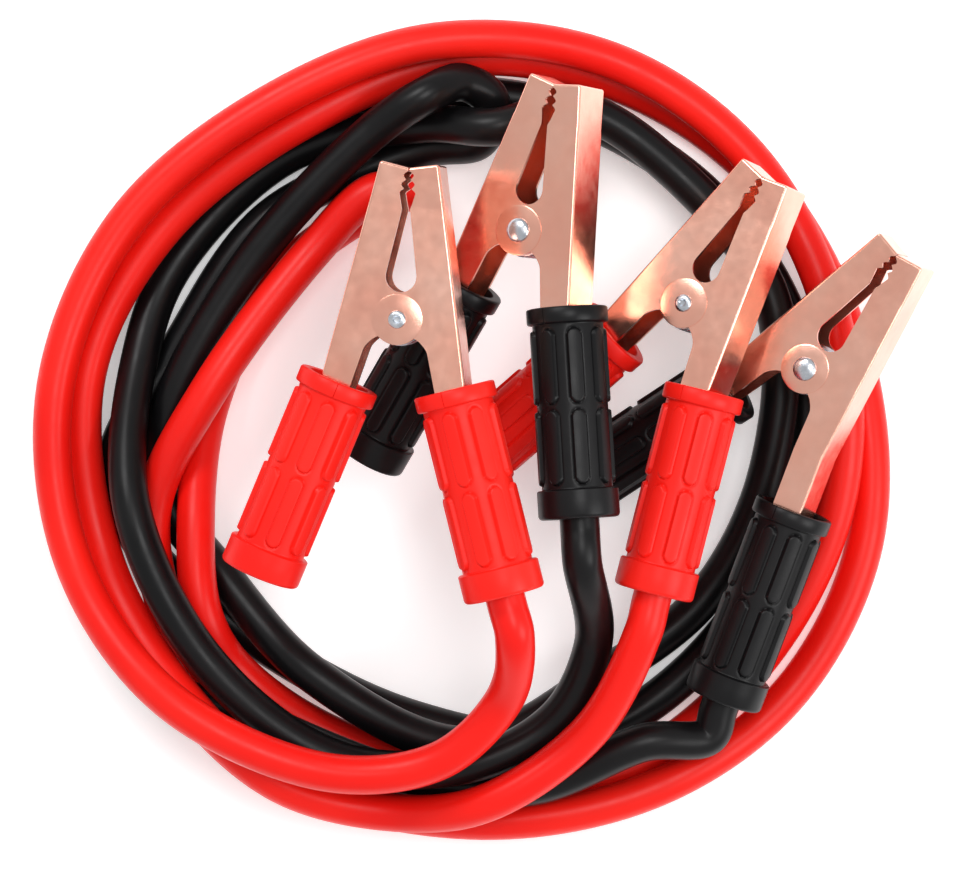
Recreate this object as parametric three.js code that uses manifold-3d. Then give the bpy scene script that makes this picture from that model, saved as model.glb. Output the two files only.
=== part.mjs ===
// Pair of folded jumper leads, one red and one black, with four spring clamps lying on the coiled cables.
// Millimetres. X runs right and Y up in plan, Z is height above the floor.
import * as THREE from 'three';
import { mergeVertices } from 'three/addons/utils/BufferGeometryUtils.js';
import Module from 'manifold-3d';

const wasm = await Module();
wasm.setup();

// Driving dimensions of the cables
const CABLE_DIAMETER = 13.4;
const CABLE_SIDES = 12;
const FIT_GAP = 0.3;

// Driving dimensions of the steel jaws, in the clamp's own frame: rivet at the origin, tips along +Y
const SHEET = 1.2;
const OUTER_JAW_WIDTH = 20;
const NEST_GAP = 0.4;
const TIP_HEIGHT = 52.1;
const TIP_HALF_WIDTH = 10;
const MOUTH_DEPTH = 1.8;
const MOUTH_GAP = 0.8;
const TOOTH_COUNT = 3;
const TOOTH_PITCH = 3;
const TOOTH_DEPTH = 1.5;
const TOOTH_SPREAD = 0.5;
const NECK_HALF_GAP = 1.5;
const NECK_HEIGHT = 36.5;
const THROAT_BOTTOM = 9;
const THROAT_RADIUS = 5.3;
const EAR_RADIUS = 8.5;
const EAR_CORNER = [[9.6, -8.6], [10.9, -10.6]];
const HANDLE_DEPTH = 10.4;
const HANDLE_LENGTH = 55;

// Driving dimensions of the grips
const GRIP_TOP_X = 19.3;
const GRIP_TOP_Y = -21.8;
const GRIP_LEAN = THREE.MathUtils.degToRad(18.4);
const GRIP_LENGTH = 71;
const GRIP_WALL = 1.4;
const COLLAR_RISE = 0.8;
const TOP_COLLAR = 5.6;
const END_COLLAR = 10;
const END_WALL = 3;
const CABLE_CLEARANCE = 0.7;
const CABLE_END_GAP = 2;

// Driving dimensions of the rivet and the torsion spring
const RIVET_RADIUS = 2.2;
const RIVET_HEAD_RADIUS = 4.1;
const RIVET_HEAD_HEIGHT = 1.8;
const RIVET_PEEN_RADIUS = 3;
const RIVET_PEEN_HEIGHT = 1;
const SPRING_WIRE = 2;
const SPRING_COIL_RADIUS = 8;
const SPRING_FULL_TURNS = 4;
const SPRING_STEPS_PER_TURN = 10;
const SPRING_LEG_DROP = 5;

// The bore that fits round a handle's corners
function boreFor(jawWidth) {
  return Math.hypot(jawWidth / 2, HANDLE_DEPTH / 2) + FIT_GAP;
}

// Sizes worked out from the driving dimensions
const INNER_JAW_WIDTH = OUTER_JAW_WIDTH - 2 * (SHEET + NEST_GAP);
const GRIP_RADIUS = boreFor(OUTER_JAW_WIDTH) + GRIP_WALL;
const COLLAR_RADIUS = GRIP_RADIUS + COLLAR_RISE;
const CABLE_HOLE = CABLE_DIAMETER / 2 + CABLE_CLEARANCE;
const CABLE_START = HANDLE_LENGTH + CABLE_END_GAP;

const red = { rubber: 0xfd2d23, cable: 0xf5261d };
const black = { rubber: 0x1e1c20, cable: 0x1b191c };

// Where each clamp lies: place of its rivet, turn in plan, lift of its tips, lift of its cable side,
// and how far its cable grip has slid down its handle
const CLAMPS = [
  { name: 'clamp_1', paint: red, headUp: false, place: [-27, 39, 84.5], yaw: -4.4, pitch: 3, roll: 7, slid: 0 },
  { name: 'clamp_2', paint: black, headUp: true, place: [16.4, 69, 68], yaw: -13.2, pitch: 6, roll: 25, slid: 0 },
  { name: 'clamp_3', paint: red, headUp: false, place: [72, 44, 57], yaw: -31.2, pitch: 8, roll: 23, slid: 0 },
  { name: 'clamp_4', paint: black, headUp: true, place: [113.6, 22.8, 42.6], yaw: -38, pitch: 12, roll: 16, slid: 20 },
];

// The model's origin: the middle of the clamps in plan, at the height of the lowest of them
const PLAN_CENTRE = new THREE.Vector3(34.1, 13.1, -0.1);

// How far outside its grip a cable still runs straight
const EXIT_STRAIGHTS = [3, 14];

// Each lead is one cable that is folded at its middle and wound into the coil with both halves.
// Its route between its two grips, in plan and height, goes in from one clamp, round the coil to the
// fold and back round the coil to the other clamp.
const LEADS = [
  {
    name: 'red_cable', paint: red, from: 'clamp_1', to: 'clamp_3',
    route: [
      [7, -90, 62], [-15, -111, 53], [-54, -115, 50], [-108, -90, 49], [-142, -43, 34], [-148, 17, 33],
      [-124, 74, 32], [-74, 115, 34], [-16, 137, 31], [45, 131, 24], [93, 98, 22], [122, 42, 23],
      [125, -21, 16], [99, -77, 8], [53, -116, 8], [4, -123, 8], [-56, -104, 8], [-86, -82, 16],
      [-97, -62, 28], [-100, -33, 25], [-96, 11, 8], [-75, 53, 8], [-38, 81, 11], [-23, 87, 17],
      [-25, 85, 24], [-38, 85, 26], [-58, 66, 23], [-95, 16, 30], [-115, -25, 24], [-110, -63, 19],
      [-95, -90, 8], [-63, -122, 8], [0, -135, 17], [62, -123, 17], [109, -90, 8], [135, -37, 8],
      [132, 26, 8], [104, 84, 8], [58, 120, 8], [-2, 133, 16], [-59, 112, 24], [-111, 73, 22],
      [-138, 22, 22], [-133, -40, 21], [-103, -91, 36], [-70, -121, 31], [-30, -131, 29], [2, -126, 43],
      [37, -101, 47],
    ],
  },
  {
    name: 'black_cable', paint: black, from: 'clamp_2', to: 'clamp_4',
    route: [
      [38, -71, 48], [26, -97, 38], [-3, -113, 37], [-50, -112, 36], [-94, -79, 40], [-121, -25, 39],
      [-120, 28, 17], [-108, 61, 9], [-69, 99, 9], [-21, 109, 22], [5, 107, 35], [32, 114, 25],
      [62, 97, 22], [101, 48, 21], [100, -12, 17], [78, -57, 10], [43, -84, 12], [-6, -108, 22],
      [-59, -83, 28], [-92, -48, 15], [-113, -19, 9], [-109, 11, 18], [-80, 62, 23], [-39, 105, 31],
      [-19, 118, 37], [-7, 123, 29], [3, 117, 22], [-1, 104, 15], [-21, 101, 9], [-75, 77, 8],
      [-109, 28, 8], [-129, -7, 8], [-121, -37, 8], [-84, -69, 8], [-27, -99, 8], [31, -107, 8],
      [74, -82, 8], [109, -28, 8], [112, 30, 8], [80, 84, 8], [25, 116, 8], [-38, 120, 8],
      [-82, 112, 8], [-127, 64, 8], [-146, 2, 8], [-133, -50, 9], [-117, -86, 18], [-87, -96, 23],
      [-28, -119, 21], [17, -122, 28], [56, -106, 36],
    ],
  },
];
const CABLE_STEPS = 84;

function material(color, roughness, metalness) {
  return new THREE.MeshStandardMaterial({ color, roughness, metalness });
}

function solidOf(geometry) {
  const plain = geometry.index ? geometry.toNonIndexed() : geometry.clone();
  plain.deleteAttribute('normal');
  plain.deleteAttribute('uv');
  const merged = mergeVertices(plain, 1e-4);
  const mesh = new wasm.Mesh({
    numProp: 3,
    vertProperties: new Float32Array(merged.attributes.position.array),
    triVerts: new Uint32Array(merged.index.array),
  });
  return new wasm.Manifold(mesh);
}

function geometryOf(solid) {
  const mesh = solid.getMesh();
  const geometry = new THREE.BufferGeometry();
  geometry.setAttribute('position', new THREE.BufferAttribute(mesh.vertProperties, 3));
  geometry.setIndex(new THREE.BufferAttribute(mesh.triVerts, 1));
  return geometry;
}

// A plate of the given outline, centred on the clamp's middle plane
function slab(points, width) {
  const shape = new THREE.Shape(points);
  const geometry = new THREE.ExtrudeGeometry(shape, { depth: width, bevelEnabled: false });
  geometry.translate(0, 0, -width / 2);
  return solidOf(geometry);
}

// The direction down a handle and the direction from it towards the clamp's outside
const downHandle = new THREE.Vector2(Math.sin(GRIP_LEAN), -Math.cos(GRIP_LEAN));
const outOfHandle = new THREE.Vector2(Math.cos(GRIP_LEAN), Math.sin(GRIP_LEAN));

function handlePoint(along, out) {
  return new THREE.Vector2(GRIP_TOP_X, GRIP_TOP_Y).addScaledVector(downHandle, along).addScaledVector(outOfHandle, out);
}

function arc(cx, cy, radius, from, to, steps) {
  const points = [];
  for (let i = 0; i <= steps; i += 1) {
    const angle = THREE.MathUtils.degToRad(from + ((to - from) * i) / steps);
    points.push(new THREE.Vector2(cx + radius * Math.cos(angle), cy + radius * Math.sin(angle)));
  }
  return points;
}

// The toothed inner edge of a jaw, from the mouth down to the throat's neck: each tooth stands further back
function teeth() {
  const points = [];
  const top = TIP_HEIGHT - MOUTH_DEPTH;
  points.push(new THREE.Vector2(MOUTH_GAP / 2, top));
  for (let i = 0; i < TOOTH_COUNT; i += 1) {
    const y = top - 1 - i * TOOTH_PITCH;
    const edge = MOUTH_GAP / 2 + i * TOOTH_SPREAD;
    points.push(new THREE.Vector2(edge, y));
    points.push(new THREE.Vector2(edge + TOOTH_DEPTH, y - TOOTH_PITCH / 2));
  }
  points.push(new THREE.Vector2(NECK_HALF_GAP, NECK_HEIGHT));
  return points;
}

// The inner edge of the throat, with its round bottom
function throat() {
  const centre = THROAT_BOTTOM + THROAT_RADIUS;
  return arc(0, centre, THROAT_RADIUS, 10, -90, 7);
}

// The outer edge runs from the tip corner down the web and on along the handle
function outerEdge(inset) {
  const shoulder = handlePoint(0, HANDLE_DEPTH / 2 - inset);
  const end = handlePoint(HANDLE_LENGTH, HANDLE_DEPTH / 2 - inset);
  return [end, shoulder, new THREE.Vector2(TIP_HALF_WIDTH - inset, TIP_HEIGHT)];
}

function jawOutline() {
  const ear = arc(0, 0, EAR_RADIUS, 118, 316, 11);
  const corner = EAR_CORNER.map(([x, y]) => new THREE.Vector2(x, y));
  const handleInner = [handlePoint(0, -HANDLE_DEPTH / 2), handlePoint(HANDLE_LENGTH, -HANDLE_DEPTH / 2)];
  return [...outerEdge(0), ...teeth(), ...throat(), ...ear, ...corner, ...handleInner];
}

// What is cut out between the two flanges: everything but the web and the folded wall at the tip
function jawHollow() {
  const [end, shoulder, tip] = outerEdge(SHEET);
  const past = 30;
  const slope = MOUTH_DEPTH / TIP_HALF_WIDTH;
  const wallY = TIP_HEIGHT - SHEET;
  return [
    end.clone().addScaledVector(downHandle, past),
    shoulder,
    new THREE.Vector2(tip.x, wallY),
    new THREE.Vector2(-past, wallY - slope * (tip.x + past)),
    new THREE.Vector2(-past, -past * 4),
  ];
}

// One folded jaw: two flanges joined by the web at the outer edge and by the wall at the tip
function jawSolid(width) {
  const bore = new THREE.CylinderGeometry(RIVET_RADIUS + FIT_GAP, RIVET_RADIUS + FIT_GAP, width * 2, 16);
  bore.rotateX(Math.PI / 2);
  const plate = slab(jawOutline(), width);
  const hollow = slab(jawHollow(), width - 2 * SHEET);
  return plate.subtract(hollow).subtract(solidOf(bore));
}

// The moulded sleeve on a handle, with a collar at its mouth and one at its end
function gripGeometry(jawWidth) {
  const bore = boreFor(jawWidth);
  const profile = [
    [bore, 0],
    [COLLAR_RADIUS, 0],
    [COLLAR_RADIUS, TOP_COLLAR],
    [GRIP_RADIUS, TOP_COLLAR + COLLAR_RISE],
    [GRIP_RADIUS, GRIP_LENGTH - END_COLLAR - COLLAR_RISE],
    [COLLAR_RADIUS, GRIP_LENGTH - END_COLLAR],
    [COLLAR_RADIUS, GRIP_LENGTH - 1],
    [COLLAR_RADIUS - 1, GRIP_LENGTH],
    [CABLE_HOLE, GRIP_LENGTH],
    [CABLE_HOLE, GRIP_LENGTH - END_WALL],
    [bore, GRIP_LENGTH - END_WALL],
    [bore, 0],
  ];
  const points = profile.map(([radius, along]) => new THREE.Vector2(radius, -along));
  return geometryOf(solidOf(new THREE.LatheGeometry(points.reverse(), 20)));
}

function rivetGeometry() {
  const seat = OUTER_JAW_WIDTH / 2 + FIT_GAP;
  const profile = [
    [0, -seat - RIVET_PEEN_HEIGHT],
    [RIVET_PEEN_RADIUS * 0.7, -seat - RIVET_PEEN_HEIGHT],
    [RIVET_PEEN_RADIUS, -seat - RIVET_PEEN_HEIGHT * 0.4],
    [RIVET_PEEN_RADIUS, -seat],
    [RIVET_RADIUS, -seat],
    [RIVET_RADIUS, seat],
    [RIVET_HEAD_RADIUS, seat],
    [RIVET_HEAD_RADIUS * 0.8, seat + RIVET_HEAD_HEIGHT * 0.7],
    [RIVET_HEAD_RADIUS * 0.4, seat + RIVET_HEAD_HEIGHT],
    [0, seat + RIVET_HEAD_HEIGHT],
  ];
  const points = profile.map(([radius, z]) => new THREE.Vector2(radius, z));
  return new THREE.LatheGeometry(points, 16).rotateX(Math.PI / 2);
}

// A wire path: a leg along one handle's web, the coil round the rivet, a leg along the other web
class SpringPath extends THREE.Curve {
  constructor() {
    super();
    const webInside = HANDLE_DEPTH / 2 - SHEET - FIT_GAP - SPRING_WIRE / 2;
    const foot = handlePoint(SPRING_LEG_DROP, webInside);
    const reach = foot.length();
    const tangent = Math.atan2(foot.y, foot.x) + Math.acos(SPRING_COIL_RADIUS / reach);
    const height = INNER_JAW_WIDTH - 2 * SHEET - 2 * FIT_GAP - SPRING_WIRE;
    const swing = Math.PI - 2 * tangent + 2 * Math.PI * SPRING_FULL_TURNS;
    const steps = Math.round((swing / (2 * Math.PI)) * SPRING_STEPS_PER_TURN);
    this.points = [new THREE.Vector3(foot.x, foot.y, -height / 2)];
    for (let i = 0; i <= steps; i += 1) {
      const angle = tangent + (swing * i) / steps;
      const z = -height / 2 + (height * i) / steps;
      const x = SPRING_COIL_RADIUS * Math.cos(angle);
      this.points.push(new THREE.Vector3(x, SPRING_COIL_RADIUS * Math.sin(angle), z));
    }
    this.points.push(new THREE.Vector3(-foot.x, foot.y, height / 2));
  }

  getPoint(t) {
    const place = t * (this.points.length - 1);
    const index = Math.min(Math.floor(place), this.points.length - 2);
    return this.points[index].clone().lerp(this.points[index + 1], place - index);
  }

  getSpacedPoints(divisions) {
    return this.getPoints(divisions);
  }

  getPointAt(t) {
    return this.getPoint(t);
  }

  getTangentAt(t, target) {
    return this.getTangent(t, target);
  }
}

function ringShape(radius, sides) {
  const points = [];
  for (let i = 0; i < sides; i += 1) {
    const angle = (2 * Math.PI * i) / sides;
    points.push(new THREE.Vector2(radius * Math.cos(angle), radius * Math.sin(angle)));
  }
  return new THREE.Shape(points);
}

function springGeometry() {
  const path = new SpringPath();
  const steps = path.points.length - 1;
  return new THREE.ExtrudeGeometry(ringShape(SPRING_WIRE / 2, 5), { steps, extrudePath: path, bevelEnabled: false });
}

const copper = material(0xe8aa91, 0.25, 1);
const steel = material(0xb8bcc4, 0.3, 1);

function addMesh(group, name, geometry, look) {
  const mesh = new THREE.Mesh(geometry, look);
  mesh.name = name;
  group.add(mesh);
  return mesh;
}

// A grip's own axis runs down -Y from its mouth, so turning it by the lean lays it on its handle
function placeGrip(mesh, side, slid) {
  const mouth = handlePoint(slid, 0);
  mesh.position.set(side * mouth.x, mouth.y, 0);
  mesh.rotation.z = side * GRIP_LEAN;
}

function placeClamp(group, clamp) {
  group.position.set(...clamp.place).sub(PLAN_CENTRE);
  group.rotation.order = 'ZXY';
  group.rotation.z = THREE.MathUtils.degToRad(clamp.yaw);
  group.rotation.x = THREE.MathUtils.degToRad(clamp.pitch);
  group.rotation.y = THREE.MathUtils.degToRad(-clamp.roll);
  group.updateMatrixWorld(true);
}

function clampGroup(clamp) {
  const group = new THREE.Group();
  const rubber = material(clamp.paint.rubber, 0.45, 0);
  const fixedJaw = geometryOf(jawSolid(OUTER_JAW_WIDTH));
  const leverJaw = geometryOf(jawSolid(INNER_JAW_WIDTH).mirror([1, 0, 0]));
  addMesh(group, `${clamp.name}_cable_jaw`, fixedJaw, copper);
  addMesh(group, `${clamp.name}_lever_jaw`, leverJaw, copper);
  placeGrip(addMesh(group, `${clamp.name}_cable_grip`, gripGeometry(OUTER_JAW_WIDTH), rubber), 1, clamp.slid);
  placeGrip(addMesh(group, `${clamp.name}_lever_grip`, gripGeometry(INNER_JAW_WIDTH), rubber), -1, 0);
  const rivet = addMesh(group, `${clamp.name}_rivet`, rivetGeometry(), steel);
  rivet.rotation.y = clamp.headUp ? 0 : Math.PI;
  addMesh(group, `${clamp.name}_spring`, springGeometry(), steel);
  placeClamp(group, clamp);
  return group;
}

// A smooth line through a lead's points, stepped evenly from point to point
class CablePath extends THREE.CatmullRomCurve3 {
  getSpacedPoints(divisions) {
    return this.getPoints(divisions);
  }

  getPointAt(t, target) {
    return this.getPoint(t, target);
  }

  getTangentAt(t, target) {
    return this.getTangent(t, target);
  }
}

// The points where a cable lies in its grip and comes straight out of it
function gripPoints(name) {
  const index = CLAMPS.findIndex((clamp) => clamp.name === name);
  const slid = CLAMPS[index].slid;
  const start = Math.max(CABLE_START, slid + CABLE_START - END_COLLAR);
  const outside = EXIT_STRAIGHTS.map((beyond) => slid + GRIP_LENGTH + beyond);
  return [start, ...outside].map((along) => {
    const point = handlePoint(along, 0);
    return clampGroups[index].localToWorld(new THREE.Vector3(point.x, point.y, 0));
  });
}

function cableGeometry(lead) {
  const between = lead.route.map((point) => new THREE.Vector3(...point).sub(PLAN_CENTRE));
  const path = new CablePath([...gripPoints(lead.from), ...between, ...gripPoints(lead.to).reverse()]);
  const section = ringShape(CABLE_DIAMETER / 2, CABLE_SIDES);
  return new THREE.ExtrudeGeometry(section, { steps: CABLE_STEPS, extrudePath: path, bevelEnabled: false });
}

const model = new THREE.Group();
const clampGroups = CLAMPS.map(clampGroup);
clampGroups.forEach((group) => model.add(group));
LEADS.forEach((lead) => addMesh(model, lead.name, cableGeometry(lead), material(lead.paint.cable, 0.4, 0)));

export default model;
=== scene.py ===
"""Looks of a pair of jumper leads: coiled red and black cables with four spring clamps lying on them."""
import math

import bmesh
import bpy
import numpy as np
from mathutils import Matrix, Vector


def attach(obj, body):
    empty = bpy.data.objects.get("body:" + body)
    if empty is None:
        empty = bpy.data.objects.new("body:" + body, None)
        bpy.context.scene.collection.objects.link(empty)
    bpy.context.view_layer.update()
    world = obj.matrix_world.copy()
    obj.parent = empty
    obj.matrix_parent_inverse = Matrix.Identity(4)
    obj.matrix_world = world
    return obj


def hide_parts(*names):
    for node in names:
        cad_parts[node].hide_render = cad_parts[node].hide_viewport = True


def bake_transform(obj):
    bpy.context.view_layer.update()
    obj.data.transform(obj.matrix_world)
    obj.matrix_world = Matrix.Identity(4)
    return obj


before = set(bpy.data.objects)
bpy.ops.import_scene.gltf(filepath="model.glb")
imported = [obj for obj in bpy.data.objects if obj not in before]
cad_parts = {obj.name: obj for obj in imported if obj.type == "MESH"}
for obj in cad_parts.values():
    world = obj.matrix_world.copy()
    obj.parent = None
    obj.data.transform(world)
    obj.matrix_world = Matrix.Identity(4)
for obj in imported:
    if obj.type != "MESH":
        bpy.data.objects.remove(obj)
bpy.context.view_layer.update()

MM = 0.001

# The view of the photograph, straight down on the floor
CAMERA_HEIGHT = 1400.0
MM_PER_PIXEL = 0.355
PHOTO_WIDTH = 965
SENSOR_WIDTH = 36.0

# Sizes of the leads and clamps in millimetres. Those of the plain solids are repeated here, and the bends,
# crease, pads and other fine relief are added
CABLE_DIAMETER = 13.4
SHEET = 1.2
OUTER_JAW_WIDTH = 20.0
INNER_JAW_WIDTH = 16.8
TIP_HEIGHT = 52.1
TIP_HALF_WIDTH = 10.0
MOUTH_DEPTH = 1.8
MOUTH_GAP = 0.8
TOOTH_COUNT = 3
TOOTH_PITCH = 3.0
TOOTH_DEPTH = 1.5
TOOTH_SPREAD = 0.5
NECK_HALF_GAP = 1.5
NECK_HEIGHT = 36.5
THROAT_BOTTOM = 9.0
THROAT_RADIUS = 5.3
EAR_RADIUS = 8.5
EAR_CORNER = ((8.0, -7.0), (9.6, -8.6), (10.5, -9.8), (10.9, -10.8))
HANDLE_DEPTH = 10.4
HANDLE_LENGTH = 55.0
FOLD_COUNT = 3
BEND_RADIUS = 2.5
RIM_BEVEL = 0.18
CREASE_BELOW_TIP = 14.0
CREASE_DEPTH = 0.4
CREASE_SLOPE = 1.4
EAR_RISE = 0.3

GRIP_TOP = Vector((19.3, -21.8))
GRIP_LEAN = math.radians(18.4)
GRIP_LENGTH = 71.0
GRIP_FIT_GAP = 0.3
COLLAR_RADIUS = 13.75
SLEEVE_RADIUS = 11.95
PAD_RISE = 1.0
PAD_WIDTH = 5.6
PAD_LENGTH = 25.4
PAD_COUNT = 8
PAD_ROWS = (19.9, 47.1)
PAD_PITCH = 27.2
PAD_LINE_DEPTH = 0.3
PAD_LINE_WIDTH = 0.4
PAD_EDGE = 0.55
SLIT_DEPTH = 0.45
TOP_COLLAR = 5.6
END_COLLAR = 10.0
END_WALL = 3.0
CABLE_HOLE = 7.4

RIVET_RADIUS = 2.2
RIVET_HEAD_RADIUS = 4.1
RIVET_HEAD_HEIGHT = 1.8
RIVET_PEEN_RADIUS = 3.0
RIVET_PEEN_HEIGHT = 1.0

SPRING_WIRE = 2.0
SPRING_COIL_RADIUS = 8.0
SPRING_FULL_TURNS = 4
SPRING_LEG_DROP = 5.0
SPRING_HEIGHT = 11.8

PLAN_CENTRE = Vector((34.1, 13.1, -0.1))
EXIT_STRAIGHTS = (3, 14)
CABLE_END_GAP = 2

# Where each clamp's rivet is, how it lies in degrees, and how far its cable grip has slid down the handle
CLAMPS = {
    "clamp_1": {"paint": "red", "head_up": False, "place": (-27, 39, 84.5),
                "yaw": -4.4, "pitch": 3, "roll": 7, "slid": 0},
    "clamp_2": {"paint": "black", "head_up": True, "place": (16.4, 69, 68),
                "yaw": -13.2, "pitch": 6, "roll": 25, "slid": 0},
    "clamp_3": {"paint": "red", "head_up": False, "place": (72, 44, 57),
                "yaw": -31.2, "pitch": 8, "roll": 23, "slid": 0},
    "clamp_4": {"paint": "black", "head_up": True, "place": (113.6, 22.8, 42.6),
                "yaw": -38, "pitch": 12, "roll": 16, "slid": 20},
}

# The routes of the two leads, point by point from one clamp round the coil to the other, in millimetres
RED_ROUTE = [
    (7, -90, 62), (-15, -111, 53), (-54, -115, 50), (-108, -90, 49), (-142, -43, 34), (-148, 17, 33),
    (-124, 74, 32), (-74, 115, 34), (-16, 137, 31), (45, 131, 24), (93, 98, 22), (122, 42, 23),
    (125, -21, 16), (99, -77, 8), (53, -116, 8), (4, -123, 8), (-56, -104, 8), (-86, -82, 16),
    (-97, -62, 28), (-100, -33, 25), (-96, 11, 8), (-75, 53, 8), (-38, 81, 11), (-23, 87, 17),
    (-25, 85, 24), (-38, 85, 26), (-58, 66, 23), (-95, 16, 30), (-115, -25, 24), (-110, -63, 19),
    (-95, -90, 8), (-63, -122, 8), (0, -135, 17), (62, -123, 17), (109, -90, 8), (135, -37, 8),
    (132, 26, 8), (104, 84, 8), (58, 120, 8), (-2, 133, 16), (-59, 112, 24), (-111, 73, 22),
    (-138, 22, 22), (-133, -40, 21), (-103, -91, 36), (-70, -121, 31), (-30, -131, 29), (2, -126, 43),
    (37, -101, 47),
]
BLACK_ROUTE = [
    (38, -71, 48), (26, -97, 38), (-3, -113, 37), (-50, -112, 36), (-94, -79, 40), (-121, -25, 39),
    (-120, 28, 17), (-108, 61, 9), (-69, 99, 9), (-21, 109, 22), (5, 107, 35), (32, 114, 25),
    (62, 97, 22), (101, 48, 21), (100, -12, 17), (78, -57, 10), (43, -84, 12), (-6, -108, 22),
    (-59, -83, 28), (-92, -48, 15), (-113, -19, 9), (-109, 11, 18), (-80, 62, 23), (-39, 105, 31),
    (-19, 118, 37), (-7, 123, 29), (3, 117, 22), (-1, 104, 15), (-21, 101, 9), (-75, 77, 8),
    (-109, 28, 8), (-129, -7, 8), (-121, -37, 8), (-84, -69, 8), (-27, -99, 8), (31, -107, 8),
    (74, -82, 8), (109, -28, 8), (112, 30, 8), (80, 84, 8), (25, 116, 8), (-38, 120, 8),
    (-82, 112, 8), (-127, 64, 8), (-146, 2, 8), (-133, -50, 9), (-117, -86, 18), (-87, -96, 23),
    (-28, -119, 21), (17, -122, 28), (56, -106, 36),
]
LEADS = [
    {"name": "red_cable", "from": "clamp_1", "to": "clamp_3", "route": RED_ROUTE, "length": 2.56},
    {"name": "black_cable", "from": "clamp_2", "to": "clamp_4", "route": BLACK_ROUTE, "length": 2.51},
]


# Placing

def clamp_matrix(clamp):
    """The clamp's own frame in the row frame, in metres: the same turns in the same order as the solids."""
    place = (Vector(clamp["place"]) - PLAN_CENTRE) * MM
    turn = Matrix.Rotation(math.radians(clamp["yaw"]), 4, "Z")
    lift = Matrix.Rotation(math.radians(clamp["pitch"]), 4, "X")
    roll = Matrix.Rotation(math.radians(-clamp["roll"]), 4, "Y")
    return Matrix.Translation(place) @ turn @ lift @ roll


def handle_point(along, out):
    """A point on the cable side's handle, so far down it and so far towards the clamp's outside."""
    down = Vector((math.sin(GRIP_LEAN), -math.cos(GRIP_LEAN)))
    outward = Vector((math.cos(GRIP_LEAN), math.sin(GRIP_LEAN)))
    return GRIP_TOP + down * along + outward * out


def set_object(name, mesh, matrix, body, node):
    obj = bpy.data.objects.new(name, mesh)
    bpy.context.scene.collection.objects.link(obj)
    mesh.transform(matrix)
    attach(obj, body)
    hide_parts(node)


def smooth_by_angle(mesh, degrees):
    bm = bmesh.new()
    bm.from_mesh(mesh)
    limit = math.radians(degrees)
    for face in bm.faces:
        face.smooth = True
    for edge in bm.edges:
        edge.smooth = len(edge.link_faces) == 2 and edge.calc_face_angle(0) < limit
    bm.to_mesh(mesh)
    bm.free()


def applied(mesh, modifiers):
    """The mesh with the given modifiers made real."""
    holder = bpy.data.objects.new("holder", mesh)
    bpy.context.scene.collection.objects.link(holder)
    for kind, values in modifiers:
        modifier = holder.modifiers.new(kind, kind)
        for key, value in values.items():
            setattr(modifier, key, value)
    graph = bpy.context.evaluated_depsgraph_get()
    done = bpy.data.meshes.new_from_object(holder.evaluated_get(graph))
    bpy.data.objects.remove(holder)
    return done


# Materials

def node_tree(name):
    material = bpy.data.materials.new(name)
    material.use_nodes = True
    nodes = material.node_tree.nodes
    return material, nodes, material.node_tree.links, nodes["Principled BSDF"]


def noise(nodes, links, scale, detail=3.0, stretch=(1, 1, 1)):
    coord = nodes.new("ShaderNodeTexCoord")
    mapping = nodes.new("ShaderNodeMapping")
    mapping.inputs["Scale"].default_value = stretch
    texture = nodes.new("ShaderNodeTexNoise")
    texture.inputs["Scale"].default_value = scale
    texture.inputs["Detail"].default_value = detail
    links.new(coord.outputs["Object"], mapping.inputs["Vector"])
    links.new(mapping.outputs["Vector"], texture.inputs["Vector"])
    return texture.outputs["Fac"]


def ramp(nodes, links, value, stops):
    node = nodes.new("ShaderNodeValToRGB")
    elements = node.color_ramp.elements
    elements[0].position, elements[0].color = stops[0]
    elements[1].position, elements[1].color = stops[-1]
    for position, color in stops[1:-1]:
        elements.new(position).color = color
    links.new(value, node.inputs["Fac"])
    return node.outputs["Color"]


def grey(value):
    return (value, value, value, 1)


def add_bump(nodes, links, shader, heights):
    """Stacks bumps, each a height output with its strength and its depth in metres."""
    previous = None
    for height, strength, distance in heights:
        bump = nodes.new("ShaderNodeBump")
        bump.inputs["Strength"].default_value = strength
        bump.inputs["Distance"].default_value = distance
        links.new(height, bump.inputs["Height"])
        if previous is not None:
            links.new(previous, bump.inputs["Normal"])
        previous = bump.outputs["Normal"]
    links.new(previous, shader.inputs["Normal"])


def rubber(name, deep, bright, roughness, grain):
    material, nodes, links, shader = node_tree(name)
    wide = noise(nodes, links, 22, 2)
    fine = noise(nodes, links, 900, 3)
    middle = noise(nodes, links, 160, 3)
    color = ramp(nodes, links, wide, [(0.3, deep), (0.7, bright)])
    rough = ramp(nodes, links, middle, [(0.25, grey(roughness - 0.05)), (0.75, grey(roughness + 0.07))])
    links.new(color, shader.inputs["Base Color"])
    links.new(rough, shader.inputs["Roughness"])
    shader.inputs["Specular IOR Level"].default_value = 0.22
    add_bump(nodes, links, shader, [(fine, 0.25, grain), (middle, 0.15, grain * 2)])
    return material


def copper_plate():
    material, nodes, links, shader = node_tree("copper_plate")
    cloud = noise(nodes, links, 45, 4)
    brushed = noise(nodes, links, 420, 2, (1, 6, 1))
    spots = noise(nodes, links, 260, 5)
    color = ramp(nodes, links, cloud, [(0.25, (0.93, 0.43, 0.32, 1)), (0.5, (0.96, 0.50, 0.38, 1)),
                                       (0.8, (0.98, 0.58, 0.46, 1))])
    rough = ramp(nodes, links, spots, [(0.2, grey(0.16)), (0.75, grey(0.27))])
    links.new(color, shader.inputs["Base Color"])
    links.new(rough, shader.inputs["Roughness"])
    shader.inputs["Metallic"].default_value = 1.0
    add_bump(nodes, links, shader, [(brushed, 0.25, 0.00005), (spots, 0.2, 0.00006), (cloud, 0.3, 0.0005)])
    return material


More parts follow.
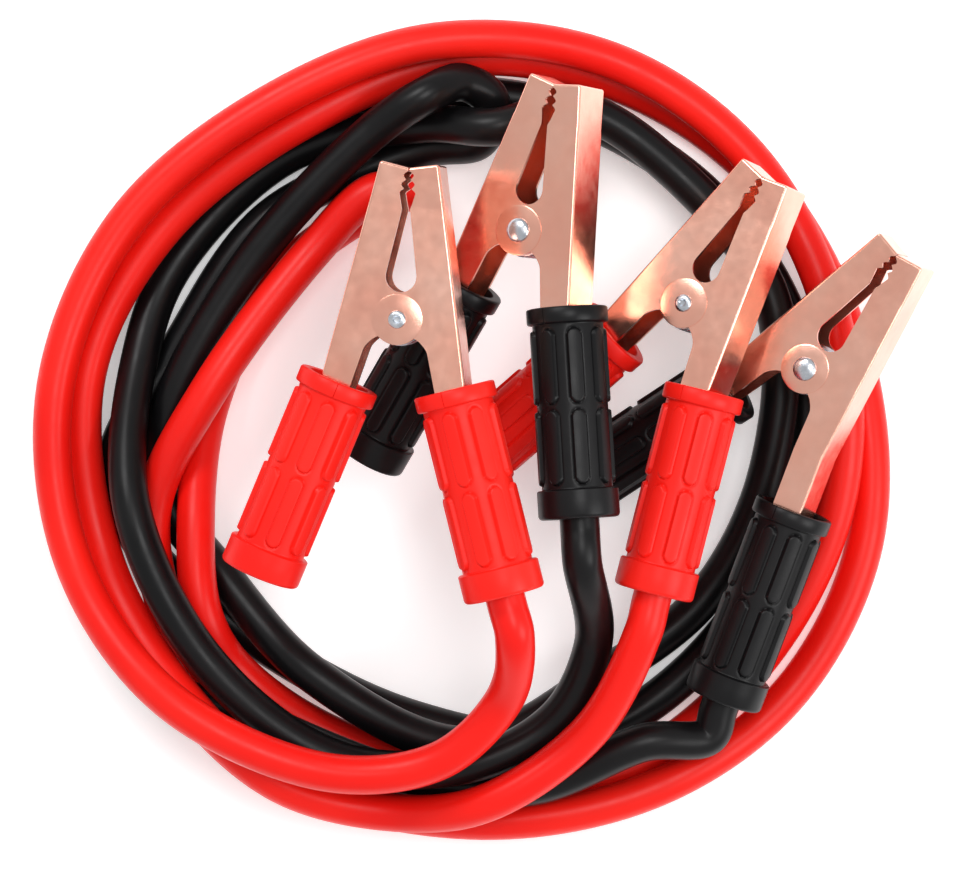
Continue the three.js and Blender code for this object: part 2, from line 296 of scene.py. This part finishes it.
def zinc_steel():
    material, nodes, links, shader = node_tree("zinc_steel")
    cloud = noise(nodes, links, 300, 4)
    color = ramp(nodes, links, cloud, [(0.3, (0.50, 0.53, 0.58, 1)), (0.7, (0.72, 0.75, 0.80, 1))])
    rough = ramp(nodes, links, cloud, [(0.3, grey(0.18)), (0.7, grey(0.34))])
    links.new(color, shader.inputs["Base Color"])
    links.new(rough, shader.inputs["Roughness"])
    shader.inputs["Metallic"].default_value = 1.0
    add_bump(nodes, links, shader, [(cloud, 0.2, 0.0001)])
    return material


MATERIALS = {
    "red_cable": rubber("red_cable", (0.80, 0.008, 0.005, 1), (0.90, 0.014, 0.008, 1), 0.34, 0.00004),
    "black_cable": rubber("black_cable", (0.003, 0.003, 0.0035, 1), (0.006, 0.0055, 0.006, 1), 0.34, 0.00004),
    "red_grip": rubber("red_grip", (0.84, 0.010, 0.006, 1), (0.92, 0.018, 0.010, 1), 0.38, 0.00006),
    "black_grip": rubber("black_grip", (0.003, 0.003, 0.0035, 1), (0.007, 0.0065, 0.007, 1), 0.36, 0.00006),
    "copper": copper_plate(),
    "steel": zinc_steel(),
}


# Camera and cables

def make_camera():
    data = bpy.data.cameras.new("photo_view")
    data.sensor_width = SENSOR_WIDTH
    data.sensor_fit = "HORIZONTAL"
    data.lens = SENSOR_WIDTH * CAMERA_HEIGHT / (MM_PER_PIXEL * PHOTO_WIDTH)
    data.clip_end = 20
    camera = bpy.data.objects.new("photo_view", data)
    camera.location = (Vector((0, 0, CAMERA_HEIGHT)) - PLAN_CENTRE) * MM
    bpy.context.scene.collection.objects.link(camera)
    bpy.context.scene.camera = camera


def grip_points(name):
    clamp = CLAMPS[name]
    slid = clamp["slid"]
    cable_start = HANDLE_LENGTH + CABLE_END_GAP
    start = max(cable_start, slid + cable_start - END_COLLAR)
    matrix = clamp_matrix(clamp)
    stations = [start] + [slid + GRIP_LENGTH + beyond for beyond in EXIT_STRAIGHTS]
    flat = [handle_point(along, 0) for along in stations]
    return [matrix @ (Vector((p.x, p.y, 0)) * MM) for p in flat]


def segment_tangents(before, start, end, after):
    """The two end tangents of one stretch of a centripetal Catmull-Rom line."""
    gap_before = math.sqrt((start - before).length)
    gap = math.sqrt((end - start).length)
    gap_after = math.sqrt((after - end).length)
    first = (start - before) / gap_before - (end - before) / (gap_before + gap) + (end - start) / gap
    second = (end - start) / gap - (after - start) / (gap + gap_after) + (after - end) / gap_after
    return first * gap, second * gap


def make_cable(lead):
    between = [(Vector(p) - PLAN_CENTRE) * MM for p in lead["route"]]
    points = grip_points(lead["from"]) + between + grip_points(lead["to"])[::-1]
    curve = bpy.data.curves.new(lead["name"], "CURVE")
    curve.dimensions = "3D"
    curve.resolution_u = 14
    curve.bevel_depth = CABLE_DIAMETER / 2 * MM
    curve.bevel_resolution = 6
    curve.use_fill_caps = True
    spline = curve.splines.new("BEZIER")
    spline.bezier_points.add(len(points) - 1)
    last = len(points) - 1
    for i, point in enumerate(points):
        knot = spline.bezier_points[i]
        knot.handle_left_type = "FREE"
        knot.handle_right_type = "FREE"
        knot.co = point
        knot.handle_left = point
        knot.handle_right = point
    for i in range(last):
        start, end = points[i], points[i + 1]
        before = points[i - 1] if i > 0 else start * 2 - end
        after = points[i + 2] if i + 2 <= last else end * 2 - start
        first, second = segment_tangents(before, start, end, after)
        spline.bezier_points[i].handle_right = start + first / 3
        spline.bezier_points[i + 1].handle_left = end - second / 3
    obj = bpy.data.objects.new(lead["name"] + "_sheath", curve)
    bpy.context.scene.collection.objects.link(obj)
    obj.data.materials.append(MATERIALS[lead["name"]])
    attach(obj, "root")
    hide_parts(lead["name"])


# Jaws

def arc(centre_y, radius, start, stop, steps):
    angles = [math.radians(start + (stop - start) * i / steps) for i in range(steps + 1)]
    return [Vector((radius * math.cos(a), centre_y + radius * math.sin(a))) for a in angles]


def jaw_outline():
    """One jaw's flange from the side: from the handle's end up the outer edge, across the tip, down the
    teeth and the throat, round the ear and back along the handle. Its first four points are on the folds."""
    top = TIP_HEIGHT - MOUTH_DEPTH
    points = [handle_point(HANDLE_LENGTH, HANDLE_DEPTH / 2), handle_point(0, HANDLE_DEPTH / 2)]
    points += [Vector((TIP_HALF_WIDTH, TIP_HEIGHT)), Vector((MOUTH_GAP / 2, top))]
    for i in range(TOOTH_COUNT):
        y = top - 1 - i * TOOTH_PITCH
        half = MOUTH_GAP / 2 + i * TOOTH_SPREAD
        hollow = half + TOOTH_DEPTH
        deepest = y - TOOTH_PITCH / 2
        points += [Vector((half, y)), Vector((hollow - 0.35, deepest + 0.6))]
        points += [Vector((hollow, deepest)), Vector((hollow - 0.15, deepest - 0.4))]
    points += [Vector((NECK_HALF_GAP + 0.5, NECK_HEIGHT + 1.8)), Vector((NECK_HALF_GAP, NECK_HEIGHT))]
    points += arc(THROAT_BOTTOM + THROAT_RADIUS, THROAT_RADIUS, 10, -90, 14)
    points += arc(0, EAR_RADIUS, 118, 316, 34)
    points += [Vector(corner) for corner in EAR_CORNER]
    points += [handle_point(0, -HANDLE_DEPTH / 2), handle_point(HANDLE_LENGTH, -HANDLE_DEPTH / 2)]
    return points


def jaw_mesh(width, mirror):
    """A folded sheet jaw: two flanges, the web down its outer edge and the wall across its tip."""
    outline = jaw_outline()
    bm = bmesh.new()
    upper = [bm.verts.new((p.x, p.y, width / 2)) for p in outline]
    lower = [bm.verts.new((p.x, p.y, -width / 2)) for p in outline]
    bm.faces.new(upper)
    bm.faces.new(lower[::-1])
    for i in range(FOLD_COUNT):
        bm.faces.new((upper[i + 1], upper[i], lower[i], lower[i + 1]))
    bmesh.ops.recalc_face_normals(bm, faces=bm.faces)
    folds = [e for e in bm.edges if len(e.link_faces) == 2 and e.calc_face_angle(0) > 0.2]
    bmesh.ops.bevel(bm, geom=folds, offset=BEND_RADIUS, segments=5, profile=0.5,
                    affect="EDGES", clamp_overlap=True)
    crease = TIP_HEIGHT - CREASE_BELOW_TIP
    for depth in (0, CREASE_SLOPE):
        everything = bm.verts[:] + bm.edges[:] + bm.faces[:]
        bmesh.ops.bisect_plane(bm, geom=everything, plane_co=(0, crease - depth, 0), plane_no=(0, 1, 0))
    for vert in bm.verts:
        if crease - 0.01 < vert.co.y < TIP_HEIGHT - 3:
            vert.co.z *= 1 - CREASE_DEPTH / (width / 2)
    if mirror:
        bmesh.ops.scale(bm, vec=(-1, 1, 1), verts=bm.verts)
        bmesh.ops.reverse_faces(bm, faces=bm.faces)
    if sum(f.normal.z * f.calc_center_median().z for f in bm.faces) < 0:
        bmesh.ops.reverse_faces(bm, faces=bm.faces)
    mesh = bpy.data.meshes.new("jaw")
    bm.to_mesh(mesh)
    bm.free()
    sheet = {"thickness": SHEET, "offset": -1.0, "use_even_offset": True}
    rim = {"width": RIM_BEVEL, "segments": 2, "limit_method": "ANGLE", "angle_limit": 0.9}
    solid = applied(mesh, [("SOLIDIFY", sheet), ("BEVEL", rim)])
    smooth_by_angle(solid, 32)
    solid = applied(solid, [("WEIGHTED_NORMAL", {"keep_sharp": True, "weight": 80})])
    solid.transform(Matrix.Scale(MM, 4))
    return solid


def ear_mesh(side, width):
    """The raised round ear of the outer jaw that the rivet pulls down on."""
    rings = [(EAR_RADIUS, width / 2 - 0.1), (EAR_RADIUS - 0.05, width / 2 + EAR_RISE * 0.6),
             (EAR_RADIUS - 0.5, width / 2 + EAR_RISE), (2.5, width / 2 + EAR_RISE)]
    return lathe([(radius, height * side) for radius, height in rings], 64)


def lathe(profile, sides):
    """Turns a profile of (radius, height) round Z."""
    bm = bmesh.new()
    rows = []
    for radius, height in profile:
        if radius < 1e-6:
            rows.append([bm.verts.new((0, 0, height))])
            continue
        angles = [2 * math.pi * i / sides for i in range(sides)]
        rows.append([bm.verts.new((radius * math.cos(a), radius * math.sin(a), height)) for a in angles])
    for first, second in zip(rows, rows[1:]):
        for i in range(sides):
            j = (i + 1) % sides
            corners = [first[i % len(first)], first[j % len(first)],
                       second[j % len(second)], second[i % len(second)]]
            unique = list(dict.fromkeys(corners))
            if len(unique) > 2:
                bm.faces.new(unique)
    bmesh.ops.recalc_face_normals(bm, faces=bm.faces)
    mesh = bpy.data.meshes.new("lathe")
    bm.to_mesh(mesh)
    bm.free()
    smooth_by_angle(mesh, 40)
    mesh.transform(Matrix.Scale(MM, 4))
    return mesh


def make_jaw(name, clamp, kind):
    outer = kind == "cable"
    width = OUTER_JAW_WIDTH if outer else INNER_JAW_WIDTH
    body = "root" if outer else name + "_lever"
    node = f"{name}_{kind}_jaw"
    mesh = jaw_mesh(width, not outer)
    mesh.materials.append(MATERIALS["copper"])
    set_object(node + "_steel", mesh, clamp_matrix(clamp), body, node)
    if outer:
        for side, label in ((1, "upper"), (-1, "lower")):
            ear = ear_mesh(side, width)
            ear.materials.append(MATERIALS["copper"])
            set_object(f"{name}_ear_{label}", ear, clamp_matrix(clamp), body, node)


# Grips

def grip_stations(bore):
    """The grip's section from its mouth down the outside, round the end and back up the bore:
    distance from the mouth, radius, and whether the raised pads stand there."""
    top = [(0.7, bore, 0), (0.15, bore + 0.3, 0), (0.0, COLLAR_RADIUS - 0.9, 0),
           (0.15, COLLAR_RADIUS - 0.3, 0), (0.6, COLLAR_RADIUS, 0), (2.8, COLLAR_RADIUS, 0),
           (4.9, COLLAR_RADIUS, 0), (5.3, COLLAR_RADIUS - 0.25, 0), (5.5, SLEEVE_RADIUS + 0.9, 0),
           (TOP_COLLAR, SLEEVE_RADIUS + 0.1, 0)]
    steps = 150
    start, stop = TOP_COLLAR + 0.15, GRIP_LENGTH - END_COLLAR - 0.15
    sleeve = [(start + (stop - start) * i / steps, SLEEVE_RADIUS, 1) for i in range(steps + 1)]
    low = GRIP_LENGTH - END_COLLAR
    end = [(low, SLEEVE_RADIUS + 0.1, 0), (low + 0.1, COLLAR_RADIUS - 0.5, 0),
           (low + 0.5, COLLAR_RADIUS, 0), (low + 4, COLLAR_RADIUS, 0),
           (GRIP_LENGTH - 1.4, COLLAR_RADIUS, 0), (GRIP_LENGTH - 0.7, COLLAR_RADIUS - 0.2, 0),
           (GRIP_LENGTH - 0.2, COLLAR_RADIUS - 0.7, 0), (GRIP_LENGTH, COLLAR_RADIUS - 1.5, 0),
           (GRIP_LENGTH, CABLE_HOLE + 0.6, 0), (GRIP_LENGTH - 0.3, CABLE_HOLE, 0),
           (GRIP_LENGTH - END_WALL, CABLE_HOLE, 0), (GRIP_LENGTH - END_WALL, bore, 0),
           (GRIP_LENGTH / 2, bore, 0)]
    return top + sleeve + end


def pad_height(along, angle):
    """How far the raised pads stand out of the sleeve there: two rows of long pads with round ends."""
    pitch = 2 * math.pi / PAD_COUNT
    across = (np.mod(angle + pitch / 2, pitch) - pitch / 2) * (SLEEVE_RADIUS + PAD_RISE)
    height = np.zeros_like(along)
    for middle in PAD_ROWS:
        straight = PAD_LENGTH / 2 - PAD_WIDTH / 2
        beyond = np.maximum(np.abs(along - middle) - straight, 0)
        inside = PAD_WIDTH / 2 - np.hypot(across, beyond)
        share = np.clip(inside / PAD_EDGE, 0, 1)
        rise = PAD_RISE * share * share * (3 - 2 * share)
        line = PAD_LINE_DEPTH * np.exp(-(inside / PAD_LINE_WIDTH) ** 2)
        height = np.where(np.abs(along - middle) < PAD_PITCH / 2, rise - line, height)
    return height


def grip_mesh(bore, turned):
    """The whole sleeve, its pads turned so far round, with the thin mould slit in its top collar."""
    slit = turned + math.pi / 2
    angles = np.linspace(0, 2 * math.pi, 208, endpoint=False)
    angles = angles[np.abs(angles - slit) > 0.03]
    angles = np.sort(np.concatenate([angles, slit + np.array([-0.022, -0.01, 0, 0.01, 0.022])]))
    stations = np.array(grip_stations(bore))
    along = np.repeat(stations[:, :1], len(angles), axis=1)
    radius = np.repeat(stations[:, 1:2], len(angles), axis=1)
    raised = np.repeat(stations[:, 2:3], len(angles), axis=1) > 0.5
    grid = np.repeat(angles[None, :], len(stations), axis=0)
    radius = radius + np.where(raised, pad_height(along, grid - turned), 0)
    on_collar = (along < TOP_COLLAR) & (radius > COLLAR_RADIUS - 1)
    radius = radius - np.where(on_collar & (np.abs(grid - slit) < 0.005), SLIT_DEPTH, 0)
    x = radius * np.cos(grid)
    z = radius * np.sin(grid)
    points = np.stack([x, -along, z], axis=-1).reshape(-1, 3) * MM
    rows, columns = along.shape
    faces = []
    for i in range(rows):
        for j in range(columns):
            after = (i + 1) % rows
            beside = (j + 1) % columns
            row, next_row = i * columns, after * columns
            faces.append((row + j, row + beside, next_row + beside, next_row + j))
    mesh = bpy.data.meshes.new("grip")
    mesh.from_pydata(points.tolist(), [], faces)
    mesh.update()
    bm = bmesh.new()
    bm.from_mesh(mesh)
    bmesh.ops.recalc_face_normals(bm, faces=bm.faces)
    bm.to_mesh(mesh)
    bm.free()
    smooth_by_angle(mesh, 50)
    return mesh


def make_grip(name, clamp, kind):
    side = 1 if kind == "cable" else -1
    width = OUTER_JAW_WIDTH if kind == "cable" else INNER_JAW_WIDTH
    bore = math.hypot(width / 2, HANDLE_DEPTH / 2) + GRIP_FIT_GAP
    mouth = handle_point(clamp["slid"] if kind == "cable" else 0, 0)
    shift = Matrix.Translation(Vector((side * mouth.x, mouth.y, 0)) * MM)
    place = shift @ Matrix.Rotation(side * GRIP_LEAN, 4, "Z")
    mesh = grip_mesh(bore, 0.2 if kind == "cable" else -0.15)
    mesh.materials.append(MATERIALS[clamp["paint"] + "_grip"])
    body = "root" if kind == "cable" else name + "_lever"
    node = f"{name}_{kind}_grip"
    set_object(node + "_sleeve", mesh, clamp_matrix(clamp) @ place, body, node)


# Rivets and springs

def make_rivet(name, clamp):
    seat = OUTER_JAW_WIDTH / 2 + EAR_RISE
    head = [(RIVET_HEAD_RADIUS * math.cos(a), seat + 0.3 + (RIVET_HEAD_HEIGHT - 0.3) * math.sin(a))
            for a in (0, 0.25, 0.5, 0.75, 1.0, 1.25, 1.45)]
    profile = [(0, -seat - RIVET_PEEN_HEIGHT * 0.45), (0.9, -seat - RIVET_PEEN_HEIGHT * 0.5),
               (1.3, -seat - RIVET_PEEN_HEIGHT), (2.1, -seat - RIVET_PEEN_HEIGHT),
               (2.7, -seat - RIVET_PEEN_HEIGHT * 0.75), (RIVET_PEEN_RADIUS, -seat - RIVET_PEEN_HEIGHT * 0.3),
               (RIVET_PEEN_RADIUS, -seat), (RIVET_RADIUS, -seat), (RIVET_RADIUS, seat),
               (RIVET_HEAD_RADIUS, seat)] + head
    profile.append((0, seat + RIVET_HEAD_HEIGHT))
    mesh = lathe(profile, 48)
    if not clamp["head_up"]:
        mesh.transform(Matrix.Rotation(math.pi, 4, "Y"))
    mesh.materials.append(MATERIALS["steel"])
    set_object(name + "_rivet_head", mesh, clamp_matrix(clamp), "root", name + "_rivet")


def spring_line():
    """The wire's middle line: a leg, the coil round the rivet and the other leg, in millimetres."""
    foot = handle_point(SPRING_LEG_DROP, HANDLE_DEPTH / 2 - SHEET - 0.3 - SPRING_WIRE / 2)
    tangent = math.atan2(foot.y, foot.x) + math.acos(SPRING_COIL_RADIUS / foot.length)
    swing = math.pi - 2 * tangent + 2 * math.pi * SPRING_FULL_TURNS
    steps = 40 * SPRING_FULL_TURNS
    half = SPRING_HEIGHT / 2
    legs = [Vector((foot.x, foot.y, -half)), Vector((-foot.x, foot.y, half))]
    coil = []
    for i in range(steps + 1):
        angle = tangent + swing * i / steps
        height = -half + SPRING_HEIGHT * i / steps
        ring = Vector((math.cos(angle), math.sin(angle))) * SPRING_COIL_RADIUS
        coil.append(Vector((ring.x, ring.y, height)))
    return [legs[0]] + coil + [legs[1]]


def make_spring(name, clamp):
    points = spring_line()
    curve = bpy.data.curves.new("spring", "CURVE")
    curve.dimensions = "3D"
    curve.bevel_depth = SPRING_WIRE / 2 * MM
    curve.bevel_resolution = 3
    curve.use_fill_caps = True
    spline = curve.splines.new("POLY")
    spline.points.add(len(points) - 1)
    for target, point in zip(spline.points, points):
        target.co = (*(point * MM), 1)
    holder = bpy.data.objects.new("holder", curve)
    bpy.context.scene.collection.objects.link(holder)
    graph = bpy.context.evaluated_depsgraph_get()
    mesh = bpy.data.meshes.new_from_object(holder.evaluated_get(graph))
    bpy.data.objects.remove(holder)
    smooth_by_angle(mesh, 50)
    mesh.materials.clear()
    mesh.materials.append(MATERIALS["steel"])
    matrix = clamp_matrix(clamp)
    obj = bpy.data.objects.new(name + "_coil", mesh)
    bpy.context.scene.collection.objects.link(obj)
    mesh.transform(matrix)
    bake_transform(obj)
    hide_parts(name + "_spring")


# Stage

def make_stage():
    mesh = bpy.data.meshes.new("floor")
    size = 4.0
    corners = [(-size, -size, 0), (size, -size, 0), (size, size, 0), (-size, size, 0)]
    mesh.from_pydata(corners, [], [(0, 1, 2, 3)])
    floor = bpy.data.objects.new("floor", mesh)
    bpy.context.scene.collection.objects.link(floor)
    material, _, _, shader = node_tree("pale_floor")
    shader.inputs["Base Color"].default_value = (0.93, 0.93, 0.93, 1)
    shader.inputs["Emission Color"].default_value = (1, 1, 1, 1)
    shader.inputs["Emission Strength"].default_value = 0.35
    shader.inputs["Roughness"].default_value = 0.9
    mesh.materials.append(material)


def add_light(name, place, size, power, target=(0, 0, 0.03)):
    data = bpy.data.lights.new(name, "AREA")
    data.shape = "RECTANGLE"
    data.size, data.size_y = size
    data.energy = power
    light = bpy.data.objects.new(name, data)
    light.location = place
    light.rotation_euler = (Vector(target) - Vector(place)).to_track_quat("-Z", "Y").to_euler()
    bpy.context.scene.collection.objects.link(light)


def make_lights():
    world = bpy.data.worlds.new("studio")
    world.use_nodes = True
    background = world.node_tree.nodes["Background"]
    background.inputs["Color"].default_value = (1, 1, 1, 1)
    background.inputs["Strength"].default_value = 0.62
    bpy.context.scene.world = world
    add_light("key", (-0.5, 0.75, 0.95), (0.5, 0.35), 5.5)
    add_light("fill", (0.85, -0.3, 0.8), (0.5, 0.6), 5)
    add_light("top", (0.15, 0.25, 1.7), (0.6, 0.6), 8)
    bpy.context.scene.view_settings.view_transform = "Standard"


make_camera()
for lead in LEADS:
    make_cable(lead)
for name, clamp in CLAMPS.items():
    for kind in ("cable", "lever"):
        make_jaw(name, clamp, kind)
        make_grip(name, clamp, kind)
    make_rivet(name, clamp)
    make_spring(name, clamp)
make_stage()
make_lights()
